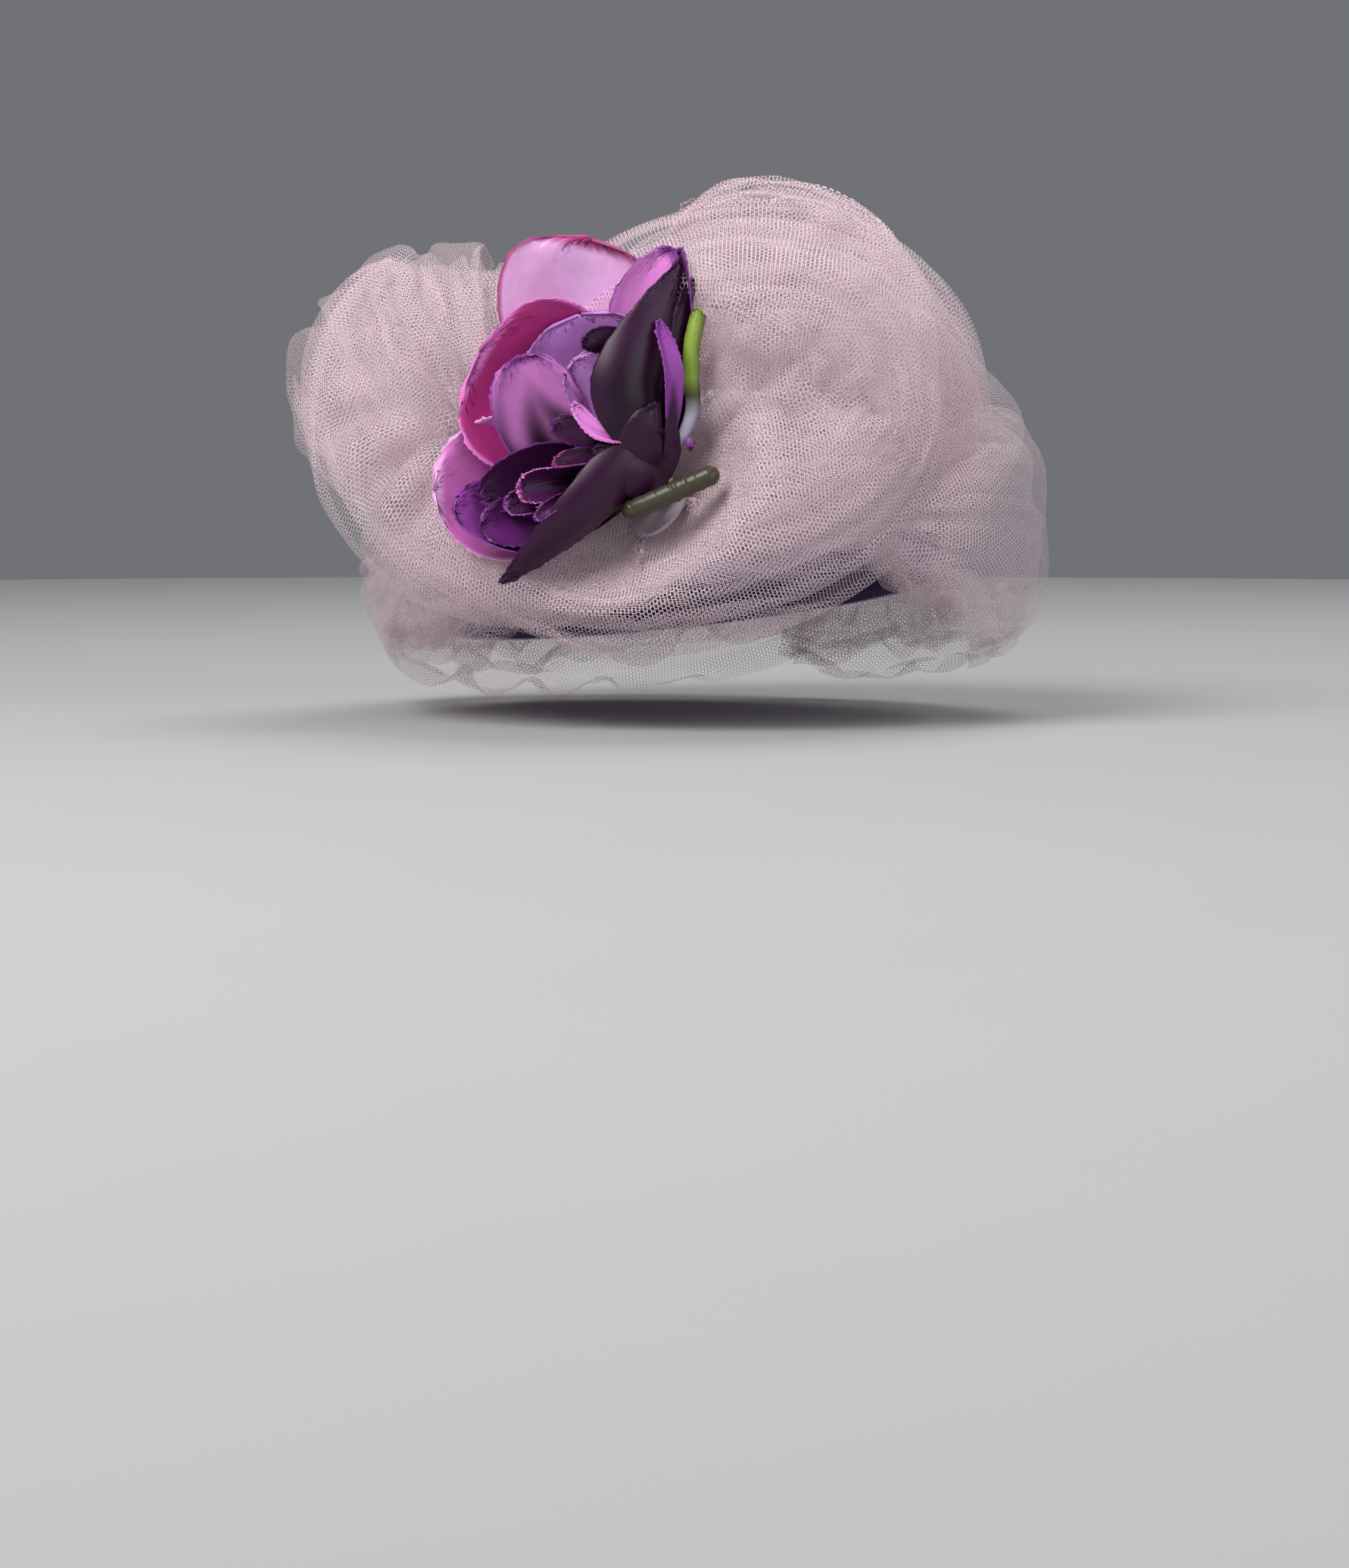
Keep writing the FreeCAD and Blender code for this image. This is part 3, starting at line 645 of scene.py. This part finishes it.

# name, CAD nodes it stands for, spine (right, near, up) from the base in mm, way the inner face looks,
# width, colours of the inner face, outer face, root (a painted shade) and edge, and the details of its shape
PETALS = [
    ("petal_top", ["outer_petal_1"],
     [(2.5, -2, 8.5), (-7.5, -12, 32.5), (-17, -14, 55.5), (-14.5, -8, 76)],
     (-0.15, 0.95, -0.25), 52, "pink", "purple", "rose", "magenta",
     dict(cup=25, ruffle=1.3, blunt=3.2, shoulder=0.72, buckle=3.0)),
    ("petal_top_right", ["outer_petal_2"],
     [(8, -2, 9.5), (4, -4, 34.5), (1, -4, 53.5), (10.5, 3, 72.5)],
     (-0.45, 0.88, -0.1), 20, "blush", "dusk", "purple", "violet", dict(cup=25, ruffle=0.8, blunt=1.7)),
    ("petal_far_left", ["outer_petal_3"],
     [(2.5, -8, 6.5), (-22.5, -12, 2), (-45.5, -8, -1), (-62, 2, -1)],
     (0.35, 0.92, 0.1), 48, "rose", "pink", "purple", "pink", dict(cup=35, ruffle=0.6, root_shade_reach=0.4)),
    ("petal_left", ["outer_petal_4"],
     [(2.5, -6, 8.5), (-12, -11, 18.5), (-27.5, -11, 29), (-48.5, -4, 41)],
     (0.3, 0.92, -0.2), 61, "magenta", "purple", "wine", "rose", dict(cup=40, ruffle=0.5, blunt=3.6)),
    ("petal_low_left", ["outer_petal_5"],
     [(1.5, -4, 2), (-19.5, -6, -7), (-39, -2, -12.5), (-55.5, 10, -7)],
     (0.35, 0.75, 0.55), 34, "purple", "violet", "deep", "violet",
     dict(cup=60, ruffle=0.5, rim=0.30, root_shade_reach=0.45)),
    ("petal_mid_top", ["middle_petal_1"],
     [(2.5, -2, 9.5), (-6, -7, 25.5), (-13, -6, 39), (-17.5, 0, 52.5)],
     (-0.05, 0.93, -0.35), 43, "lilac", "purple", "purple", "lilac",
     dict(cup=35, ruffle=0.5, blunt=3.4, root_shade_reach=0.34)),
    ("petal_mid_left", ["middle_petal_2"],
     [(-4.5, 0, -1), (-18.5, -3, 9.5), (-29, -2, 22), (-35, 5, 40)],
     (0.1, 0.93, -0.3), 32, "blush", "purple", "deep", "violet",
     dict(cup=50, ruffle=0.5, blunt=2.8, root_shade_reach=0.40)),
    ("petal_mid_right", ["middle_petal_3"],
     [(2.5, 4, 9.5), (-2.5, 3, 19), (-9.5, 3, 29.5), (-19.5, 6, 38.5)],
     (-0.2, 0.93, -0.2), 23, "lilac", "purple", "violet", "lilac", dict(cup=30, ruffle=0.6)),
    ("petal_fold", ["middle_petal_4"],
     [(2.5, 6, 36), (-2.5, 8, 41.5), (-8.5, 10, 44.5), (-16.5, 11, 43.5)],
     (0.1, -0.9, 0.3), 9, "dusk", "dusk", "dusk", "plum", dict(cup=20)),
    ("petal_curl", ["middle_petal_5"],
     [(5, 12, 19), (-2.5, 13, 15.5), (-12, 13, 17), (-19.5, 10, 25.5)],
     (-0.1, 0.9, 0.4), 6, "blush", "magenta", "magenta", "blush", dict(cup=50)),
    ("petal_right_back", ["outer_petal_2"],
     [(10.5, -2, 8.5), (14.5, 0, 29.5), (15.5, 0, 50.5), (13, 2, 72.5)],
     (-0.85, 0.5, 0), 16, "purple", "dusk", "dusk", "violet", dict(cup=50, ruffle=0.8)),
    ("petal_right_edge", ["outer_petal_2"],
     [(10.5, 2, 8.5), (13, 4, 27.5), (14.5, 4, 47.5), (17, 2, 63)],
     (-0.85, -0.5, 0), 12, "purple", "dusk", "dusk", "plum", dict(cup=50, ruffle=0.6)),
    ("petal_right", ["inner_petal_1"],
     [(7.5, 4, 6.5), (1.5, 14, 20), (-1, 16, 33.5), (5.5, 11, 51.5), (13, 4, 68.5)],
     (-0.4, -0.9, -0.1), 27, "purple", "dusk", "deep", "plum",
     dict(cup=55, ruffle=0.3, shoulder=0.42, taper=0.85)),
    ("petal_right_turn", ["inner_petal_1"],
     [(8.5, 10, 9.5), (10.5, 13, 21), (10.5, 15, 36), (6.5, 12, 50.5)],
     (0.5, 0.85, 0), 7, "violet", "purple", "dusk", "violet", dict(cup=30, ruffle=0.4)),
    ("petal_wrap", ["inner_petal_2"], [(8.5, 2, 2), (6.5, 10, 8.5), (2.5, 15, 16.5), (6, 14, 25.5)],
     (-0.3, -0.95, 0.1), 25, "plum", "dusk", "dusk", "plum", dict(cup=50, taper=0.8, shoulder=0.4)),
    ("petal_wrap_low", ["inner_petal_2"], [(10, 0, 2), (5, 10, 4), (-4, 15, 8), (-13, 14, 12)],
     (-0.3, -0.95, -0.1), 19, "plum", "dusk", "dusk", "plum", dict(cup=50, taper=0.7, shoulder=0.45)),
    ("petal_bottom", ["inner_petal_3"],
     [(7.5, 4, 9.5), (-2.5, 14, 4), (-19.5, 17, -11), (-41, 12, -28.5)],
     (-0.3, -0.85, 0.4), 23, "plum", "dusk", "dusk", "plum",
     dict(cup=60, ruffle=0.4, shoulder=0.32, taper=0.75)),
    ("petal_cup_low", ["inner_petal_4"],
     [(-9, 0, -4), (-22.5, 0, -8.5), (-35, 2, -12.5), (-47, 10, -12.5)],
     (0.35, 0.8, 0.5), 24, "purple", "purple", "deep", "purple", dict(cup=70)),
    ("petal_cup_left", ["inner_petal_4"],
     [(-2.5, 0, 1), (-17, 0, 5.5), (-31, 2, 5.5), (-47.5, 5, -3.5)],
     (0.2, 0.9, -0.2), 20, "plum", "purple", "deep", "purple", dict(cup=50)),
    ("petal_cup_top", ["inner_petal_2"],
     [(-2.5, 4, 8.5), (-11, 7, 13.5), (-18.5, 8, 17.5), (-26, 9, 19)],
     (0.1, 0.9, -0.2), 10, "plum", "purple", "deep", "purple", dict(cup=30)),
    ("petal_bud_1", ["bud_petal_1", "bud_core"],
     [(-6.5, 5, 1), (-18.5, 6, 0.5), (-27.5, 9, 0.5), (-36, 12, -0.5)],
     (0.2, 0.95, 0.1), 15, "plum", "lilac", "deep", "rose", dict(cup=80, rim=0.04)),
    ("petal_bud_2", ["bud_petal_2", "bud_core"],
     [(-6.5, 4, -1), (-19.5, 5, -2), (-31, 7, -4), (-40, 9, -5.5)],
     (0.2, 0.9, 0.2), 13, "plum", "violet", "deep", "violet", dict(cup=90, rim=0.04)),
    ("petal_bud_3", ["bud_petal_3", "bud_core"],
     [(-2.5, 8, 8.5), (-11, 11, 8.5), (-18.5, 13, 8), (-25.5, 14, 7)],
     (0.2, 0.6, 0.8), 9, "dusk", "violet", "deep", "magenta", dict(cup=60, rim=0.05)),
    ("petal_bud_4", ["bud_petal_3"],
     [(-11, 10, -2), (-19.5, 13, -4), (-25.5, 15, -6.5), (-30.5, 16, -9.5)],
     (-0.3, 0.8, 0.4), 8, "plum", "violet", "deep", "violet", dict(cup=90, rim=0.05)),
]


def satin_material(name, roughness=0.37):
    """Dyed satin: its colour is in the mesh's tint, which also holds painted shade and painted highlights,
    with a fine twill in colour and relief.
    """
    material, nodes, links, shader = new_material(name)
    tint = nodes.new("ShaderNodeAttribute")
    tint.attribute_name = "tint"
    uv = nodes.new("ShaderNodeUVMap")
    uv.uv_map = "flat"
    twill = nodes.new("ShaderNodeTexWave")
    twill.inputs["Scale"].default_value = 420
    twill.inputs["Distortion"].default_value = 1.2
    twill.inputs["Detail"].default_value = 2
    dye = nodes.new("ShaderNodeTexNoise")
    dye.inputs["Scale"].default_value = 160
    dye.inputs["Detail"].default_value = 3
    links.new(uv.outputs["UV"], twill.inputs["Vector"])
    links.new(uv.outputs["UV"], dye.inputs["Vector"])
    shade = nodes.new("ShaderNodeMath")
    shade.operation = "MULTIPLY_ADD"
    shade.inputs[1].default_value = 0.35
    shade.inputs[2].default_value = 0.80
    links.new(dye.outputs["Fac"], shade.inputs[0])
    weave = nodes.new("ShaderNodeMath")
    weave.operation = "MULTIPLY_ADD"
    weave.inputs[1].default_value = 0.14
    links.new(twill.outputs["Fac"], weave.inputs[0])
    links.new(shade.outputs[0], weave.inputs[2])
    scale = nodes.new("ShaderNodeVectorMath")
    scale.operation = "SCALE"
    links.new(tint.outputs["Color"], scale.inputs[0])
    links.new(weave.outputs[0], scale.inputs["Scale"])
    links.new(scale.outputs[0], shader.inputs["Base Color"])
    bump = nodes.new("ShaderNodeBump")
    bump.inputs["Strength"].default_value = 0.25
    bump.inputs["Distance"].default_value = 0.05 * MM
    links.new(twill.outputs["Fac"], bump.inputs["Height"])
    links.new(bump.outputs["Normal"], shader.inputs["Normal"])
    shader.inputs["Roughness"].default_value = roughness
    shader.inputs["Specular IOR Level"].default_value = 0.32
    shader.inputs["Sheen Weight"].default_value = 0.04
    shader.inputs["Sheen Roughness"].default_value = 0.3
    return material


def petal_grid(
    rng, spine, face, width, rows, cols,
    cup=40, ruffle=0.5, blunt=2.4, shoulder=0.62, taper=0.0, buckle=0.0,
):
    """Grid of one petal in mm from the rose's base, rows from root to tip.

    cup is how far each half curls up, in degrees. shoulder is the place of the greatest width, above which
    the outline is a rounded end of the given bluntness, or a point where taper is set. ruffle and buckle are
    the heights of the waves along the edge and across the middle.
    """
    line = through(spine, rows)
    s = np.linspace(0, 1, rows)
    w = np.linspace(-1, 1, cols)
    along = np.gradient(line, axis=0)
    along /= np.linalg.norm(along, axis=1, keepdims=True)
    inner = np.array(face, float) - along * (along @ np.array(face, float))[:, None]
    inner /= np.linalg.norm(inner, axis=1, keepdims=True)
    side = np.cross(along, inner)
    rise = 0.18 + 0.82 * np.sin(np.clip(s / shoulder, 0, 1) * math.pi / 2) ** 1.1
    down = np.clip((s - shoulder) / (1 - shoulder), 0, 1)
    fall = (1 - down) ** taper if taper else np.sqrt(1 - down**blunt)
    half = width / 2 * np.where(s < shoulder, rise, 0.03 + 0.97 * fall)
    bend = np.maximum(math.radians(cup) * half / (width / 2), 1e-3)
    across = half[:, None] * np.sin(w[None] * bend[:, None]) / bend[:, None]
    depth = half[:, None] * (1 - np.cos(w[None] * bend[:, None])) / bend[:, None]
    free = s[:, None] ** 2
    turn = rng.uniform(0, math.tau, 3)
    depth += ruffle * free * (0.2 + w[None] ** 2) * np.sin(5 * w[None] + turn[0] + 3 * s[:, None])
    depth += 0.25 * ruffle * free * w[None] ** 2 * np.sin(13 * w[None] + turn[1] - 5 * s[:, None])
    depth += buckle * np.sin(3.6 * w[None] + turn[2]) * np.sin(math.pi * s[:, None]) * s[:, None]
    fray = rng.normal(0, 0.28, (rows, cols)) * np.maximum(s[:, None] ** 8, np.abs(w[None]) ** 30 * s[:, None])
    grid = line[:, None] + side[:, None] * (across + fray * np.sign(w)[None])[:, :, None]
    return grid + inner[:, None] * depth[:, :, None] + along[:, None] * fray[:, :, None]


def closed_skin(name, grid, thick, tints, material):
    """Solid piece from a grid in mm: two skins, joined round the edge, each with its own tint."""
    rows, cols = grid.shape[:2]
    lift = grid_normals(grid) * thick / 2
    points = np.concatenate([(grid + lift).reshape(-1, 3), (grid - lift).reshape(-1, 3)])
    points = ROSE_BASE + points @ np.array(VIEW_AXES) * MM
    index = np.arange(rows * cols).reshape(rows, cols)
    back = index + rows * cols
    quads = [np.stack([index[:-1, :-1], index[:-1, 1:], index[1:, 1:], index[1:, :-1]], -1).reshape(-1, 4)]
    quads.append(np.stack([back[:-1, :-1], back[1:, :-1], back[1:, 1:], back[:-1, 1:]], -1).reshape(-1, 4))
    edges = [(index[0], back[0]), (index[:, -1], back[:, -1])]
    edges += [(index[-1][::-1], back[-1][::-1]), (index[::-1, 0], back[::-1, 0])]
    for front, rear in edges:
        quads.append(np.stack([front[1:], front[:-1], rear[:-1], rear[1:]], -1))
    quads = np.concatenate(quads)
    mesh = bpy.data.meshes.new(name)
    mesh.from_pydata(points.tolist(), [], quads.tolist())
    seg = np.linalg.norm(np.diff(grid, axis=0), axis=2).mean(axis=1).sum() * MM
    wide = np.linalg.norm(np.diff(grid, axis=1), axis=2).sum(axis=1).max() * MM
    v, u = np.meshgrid(np.linspace(0, seg, rows), np.linspace(0, wide, cols), indexing="ij")
    flat = np.stack([u, v], -1).reshape(-1, 2)
    flat = np.concatenate([flat, flat])
    loops = np.empty(len(mesh.loops), dtype=np.int32)
    mesh.loops.foreach_get("vertex_index", loops)
    mesh.uv_layers.new(name="flat").data.foreach_set("uv", flat[loops].reshape(-1).astype(np.float32))
    colours = np.ones((2 * rows * cols, 4), dtype=np.float32)
    colours[:, :3] = np.concatenate([tints[0].reshape(-1, 3), tints[1].reshape(-1, 3)])
    tint = mesh.color_attributes.new("tint", "FLOAT_COLOR", "POINT")
    tint.data.foreach_set("color", colours.reshape(-1))
    mesh.polygons.foreach_set("use_smooth", np.ones(len(mesh.polygons), dtype=bool))
    mesh.materials.append(material)
    mesh.update()
    thing = bpy.data.objects.new(name, mesh)
    bpy.context.collection.objects.link(thing)
    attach(thing, "hat")
    return thing


def blended(lower, upper, share):
    """Colour between two, for a grid of shares."""
    return np.array(lower) * (1 - share[..., None]) + np.array(upper) * share[..., None]


def petal_tint(rng, shape, tip, root, edge, rim, edge_from, root_shade_reach):
    """Tints of one face: painted shade that darkens the root, deep in the rose, the dye's own colour above
    with painted sheen patches, and a dyed edge.
    """
    rows, cols = shape
    s, w = np.meshgrid(np.linspace(0, 1, rows), np.abs(np.linspace(-1, 1, cols)), indexing="ij")
    mottle = 0.10 * np.sin(7 * w * rng.uniform(0.6, 1.4) + 9 * s + rng.uniform(0, 6))
    # Painted shade: the colour darkens from the tip colour to the root colour towards the root, deep in the
    # rose
    body = np.clip((s + mottle - root_shade_reach) / 0.45, 0, 1)
    face = blended(SATIN[root], SATIN[tip], body * body * (3 - 2 * body))
    # Painted highlight: soft lighter and darker patches across the face that stand in for the satin's sheen
    painted_sheen = 1 + 0.16 * np.sin(4.1 * w + rng.uniform(0, 6)) * np.sin(6.3 * s + rng.uniform(0, 6))
    face = np.clip(face * painted_sheen[..., None], 0, 0.95)
    near = np.maximum(np.where(s > edge_from, w, 0), s + 0.004 * np.sin(40 * w))
    dyed = np.clip((near - (1 - rim)) / (0.6 * rim), 0, 1)
    return face * (1 - dyed[..., None]) + np.array(SATIN[edge]) * dyed[..., None]


def make_rose():
    """Every petal of the rose."""
    satin = satin_material("petal_satin")
    rng = np.random.default_rng(7)
    for name, nodes, spine, face, width, tip, outer, root, edge, shape in PETALS:
        # How far up from the root the painted shade reaches, as a share of the petal's length
        root_shade_reach = shape.pop("root_shade_reach", 0.22)
        rim = shape.pop("rim", 0.06)
        grid = petal_grid(rng, spine, face, width, PETAL_ROWS, PETAL_COLS, **shape)
        edge_from = 0.8 if "bud" in name else 0.3
        inside = petal_tint(rng, grid.shape[:2], tip, root, edge, rim, edge_from, root_shade_reach)
        outside = petal_tint(rng, grid.shape[:2], outer, root, edge, rim * 0.6, edge_from, root_shade_reach)
        facing = (grid_normals(grid) @ np.array(face)).mean() > 0
        tints = (inside, outside) if facing else (outside, inside)
        petal = closed_skin(name, grid, SKIN, tints, satin)
        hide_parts(*nodes)


def make_sepal():
    """The sepal: a folded strip, lilac where it leaves the rose and green above, and its violet side tip."""
    leaf = satin_material("leaf_satin", 0.36)
    rng = np.random.default_rng(11)
    white, olive, green = linear(196, 186, 212), linear(84, 86, 56), linear(138, 164, 66)
    pieces = [
        ("sepal_strip",
         [(9.5, 2, 9), (13.5, 5, 15.5), (16.4, 7, 24), (15.8, 8, 34), (16, 9, 43), (18.4, 8, 54)],
         (0.2, -0.95, 0), 7.4, dict(cup=95, ruffle=0.5, shoulder=0.8, blunt=5)),
        ("sepal_tip", [(13.5, 4, 15), (15, 6.5, 13.8), (16.6, 7, 12.2)], (0.3, -0.9, 0.2), 3.4, dict(cup=70)),
    ]
    for name, spine, face, width, shape in pieces:
        grid = petal_grid(rng, spine, face, width, SEPAL_ROWS, SEPAL_COLS, **shape)
        s = np.linspace(0, 1, SEPAL_ROWS)[:, None] * np.ones((1, SEPAL_COLS))
        if name == "sepal_strip":
            tint = blended(white, olive, np.clip((s - 0.30) / 0.14, 0, 1))
            up = np.clip((s - 0.46) / 0.10, 0, 1)[..., None]
            tint = tint * (1 - up) + np.array(green) * up
            # Painted shade: the strip darkens towards both long edges where it curls away, leaving a painted
            # highlight down its middle
            tint *= (1 - 0.6 * np.linspace(-1, 1, SEPAL_COLS) ** 2)[None, :, None]
        else:
            tint = blended(SATIN["lilac"], SATIN["purple"], s)
        thing = closed_skin(name, grid, 0.5, (tint, tint), leaf)
        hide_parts("sepal")


def round_grid(line, radius):
    """Grid of a round piece along a line, from its radius at each row and turn."""
    rows, cols = radius.shape
    line = through(line, rows)
    along = np.gradient(line, axis=0)
    along /= np.linalg.norm(along, axis=1, keepdims=True)
    out = np.cross(along, (0.3, 1, 0))
    out /= np.linalg.norm(out, axis=1, keepdims=True)
    over = np.cross(along, out)
    turn = np.linspace(0, math.tau, cols)[None, :, None]
    return line[:, None] + radius[..., None] * (np.cos(turn) * out[:, None] + np.sin(turn) * over[:, None])


def make_calyx():
    """Small fluted calyx, tucked behind the petals."""
    rows, cols = 24, 40
    s = np.linspace(0, 1, rows)[:, None]
    flute = 1 + 0.06 * np.cos(np.linspace(0, math.tau, cols)[None] * 5)
    radius = np.sqrt(np.clip(1 - (2 * s - 1) ** 2, 0.0004, 1)) * 5.2 * flute
    grid = round_grid([(4, -6, -1), (5.5, -2, 3), (7, 1, 7)], radius)
    tint = np.ones((rows, cols, 3)) * np.array(linear(58, 62, 34))
    thing = closed_skin("calyx_fluted", grid, 0.3, (tint, tint), bpy.data.materials["leaf_satin"])
    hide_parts("calyx")


def make_stem():
    """Stem wound with waxed tape: overlapping turns, two raised rings, rounded ends."""
    material, nodes, links, shader = new_material("stem_tape")
    mottle(nodes, links, shader, 260, linear(36, 34, 22), linear(80, 76, 56))
    shader.inputs["Roughness"].default_value = 0.38
    rows, cols = 220, 28
    line = [(1.5, 3, -3.5), (-1.8, 9, -6.4), (3.5, 11.5, -4.4), (13, 12.6, -0.2), (24.6, 12.6, 5.0)]
    length = np.linalg.norm(np.diff(through(line, rows), axis=0), axis=1).sum()
    s = np.linspace(0, 1, rows)
    end = np.clip(np.minimum(s, 1 - s) * length / STEM_RADIUS, 0, 1)
    dome = np.sqrt(1 - (1 - end) ** 2)
    tape = (s[:, None] * length / TAPE_TURN + np.linspace(0, 1, cols)[None]) % 1.0
    radius = STEM_RADIUS - TAPE_LIP / 2 + TAPE_LIP * tape
    for ring in STEM_RINGS:
        radius += 0.35 * np.exp(-(((s[:, None] - ring) * length / 0.7) ** 2))
    radius *= np.maximum(dome, 0.02)[:, None]
    grid = round_grid(line, radius)
    tint = np.ones((rows, cols, 3))
    thing = closed_skin("stem_taped", grid, 0.05, (tint, tint), material)
    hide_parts("stem_wrap", "stem_wire")


# ---------------------------------------------------------------- cap, combs and trim

# Millimetres
CAP_HEIGHT = 52.0  # crown above the wall, inside the lining
CAP_WALL = 10.0  # height of the wall
CAP_REACH = 84.0  # half the length, inside the lining
VEIL_LIFT = 4.4  # from the lining's inner face to the net over the cover

VEIL_EASE = 1.03  # radius of the flat disc to the arc over the cap
VEIL_ROWS, VEIL_COLS = 40, 97


def make_veil():
    """Net laid smooth over the cap, a disc of it, drawn in a little at the rim."""
    rows, cols = VEIL_ROWS, VEIL_COLS
    arc = np.linspace(0.02, 1, rows)[:, None]
    turn = np.linspace(0, math.tau, cols)[None]
    lean = arc * math.pi / 2
    reach = (CAP_REACH + VEIL_LIFT) * np.sin(lean) * np.ones_like(turn)
    up = CAP_WALL + (CAP_HEIGHT + VEIL_LIFT) * np.cos(lean) * np.ones_like(turn)
    x = reach * np.sin(turn) * OVAL
    y = -reach * np.cos(turn)
    p = np.stack([x, y, up - RIM_TILT * y], axis=2) * MM
    radius = float(np.linalg.norm(np.diff(p, axis=0), axis=2).sum(axis=0).mean()) * VEIL_EASE
    thing = sheet_mesh("cap_net", p, (1, 1))
    u = 0.5 + 0.5 * arc * np.sin(turn)
    v = 0.5 - 0.5 * arc * np.cos(turn)
    flat = (np.stack([u, v], axis=-1) * 2 * radius).reshape(-1, 2)
    loops = np.empty(len(thing.data.loops), dtype=np.int32)
    thing.data.loops.foreach_get("vertex_index", loops)
    thing.data.uv_layers["flat"].data.foreach_set("uv", flat[loops].reshape(-1).astype(np.float32))
    thing.data.materials.append(bpy.data.materials["net"])
    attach(thing, "hat")
    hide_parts("cap_veil")


WAVE_LENGTH = 0.314  # of a wave texture at scale 1


def cloth_material(name, colour, thread, roughness, relief, sheen=0.2):
    """Woven cloth: crossed threads in relief and a slight unevenness of colour."""
    material, nodes, links, shader = new_material(name)
    place_in = nodes.new("ShaderNodeTexCoord")
    height = None
    for direction in ("X", "Y", "Z"):
        wave = nodes.new("ShaderNodeTexWave")
        wave.bands_direction = direction
        wave.inputs["Scale"].default_value = WAVE_LENGTH / thread
        wave.inputs["Distortion"].default_value = 0.6
        links.new(place_in.outputs["Object"], wave.inputs["Vector"])
        if height is None:
            height = wave.outputs["Fac"]
            continue
        most = nodes.new("ShaderNodeMath")
        most.operation = "MAXIMUM"
        links.new(height, most.inputs[0])
        links.new(wave.outputs["Fac"], most.inputs[1])
        height = most.outputs[0]
    noise = mottle(nodes, links, shader, 90, [c * 0.78 for c in colour], colour)
    links.new(place_in.outputs["Object"], noise.inputs["Vector"])
    bump = nodes.new("ShaderNodeBump")
    bump.inputs["Strength"].default_value = relief
    bump.inputs["Distance"].default_value = thread * 0.3
    links.new(height, bump.inputs["Height"])
    links.new(bump.outputs["Normal"], shader.inputs["Normal"])
    shader.inputs["Roughness"].default_value = roughness
    shader.inputs["Sheen Weight"].default_value = sheen
    return material


def dress_cad_nodes():
    """Gives every CAD piece that stays its own material."""
    violet, lilac = linear(86, 60, 128), linear(190, 168, 190)
    looks = {
        "cap_cover": cloth_material("cap_satin", violet, 0.5 * MM, 0.42, 0.25, 0.3),
        "rim_binding": cloth_material("binding_satin", violet, 0.5 * MM, 0.42, 0.30, 0.3),
        "cap_lining": cloth_material("lining", lilac, 0.4 * MM, 0.55, 0.25, 0.15),
        "cap_foundation": cloth_material("buckram", linear(206, 200, 184), 1.4 * MM, 0.8, 0.8, 0.0),
        "sweatband": cloth_material("grosgrain", linear(80, 58, 112), 1.1 * MM, 0.6, 0.8, 0.1),
        "flower_backing": cloth_material("felt", linear(190, 168, 182), 0.9 * MM, 0.95, 0.5, 0.3),
        "rim_wire": mottled_material("wire", (0.55, 0.55, 0.57), 0.32, 120, 0.88, 1.12, metallic=1.0),
        "front_comb": mottled_material("comb_plastic", linear(62, 40, 30), 0.22, 60, 0.65, 1.35),
        "front_comb_stitches": cloth_material("thread", linear(84, 60, 110), 0.25 * MM, 0.6, 0.6, 0.2),
    }
    looks["back_comb"] = looks["front_comb"]
    looks["back_comb_stitches"] = looks["front_comb_stitches"]
    for node, material in looks.items():
        thing = bpy.data.objects[node]
        if not thing.material_slots:
            thing.data.materials.append(material)
        for used in thing.material_slots:
            used.material = material


make_camera()
make_net()
make_veil()
make_rose()
make_sepal()
make_calyx()
make_stem()
dress_cad_nodes()
make_stage()
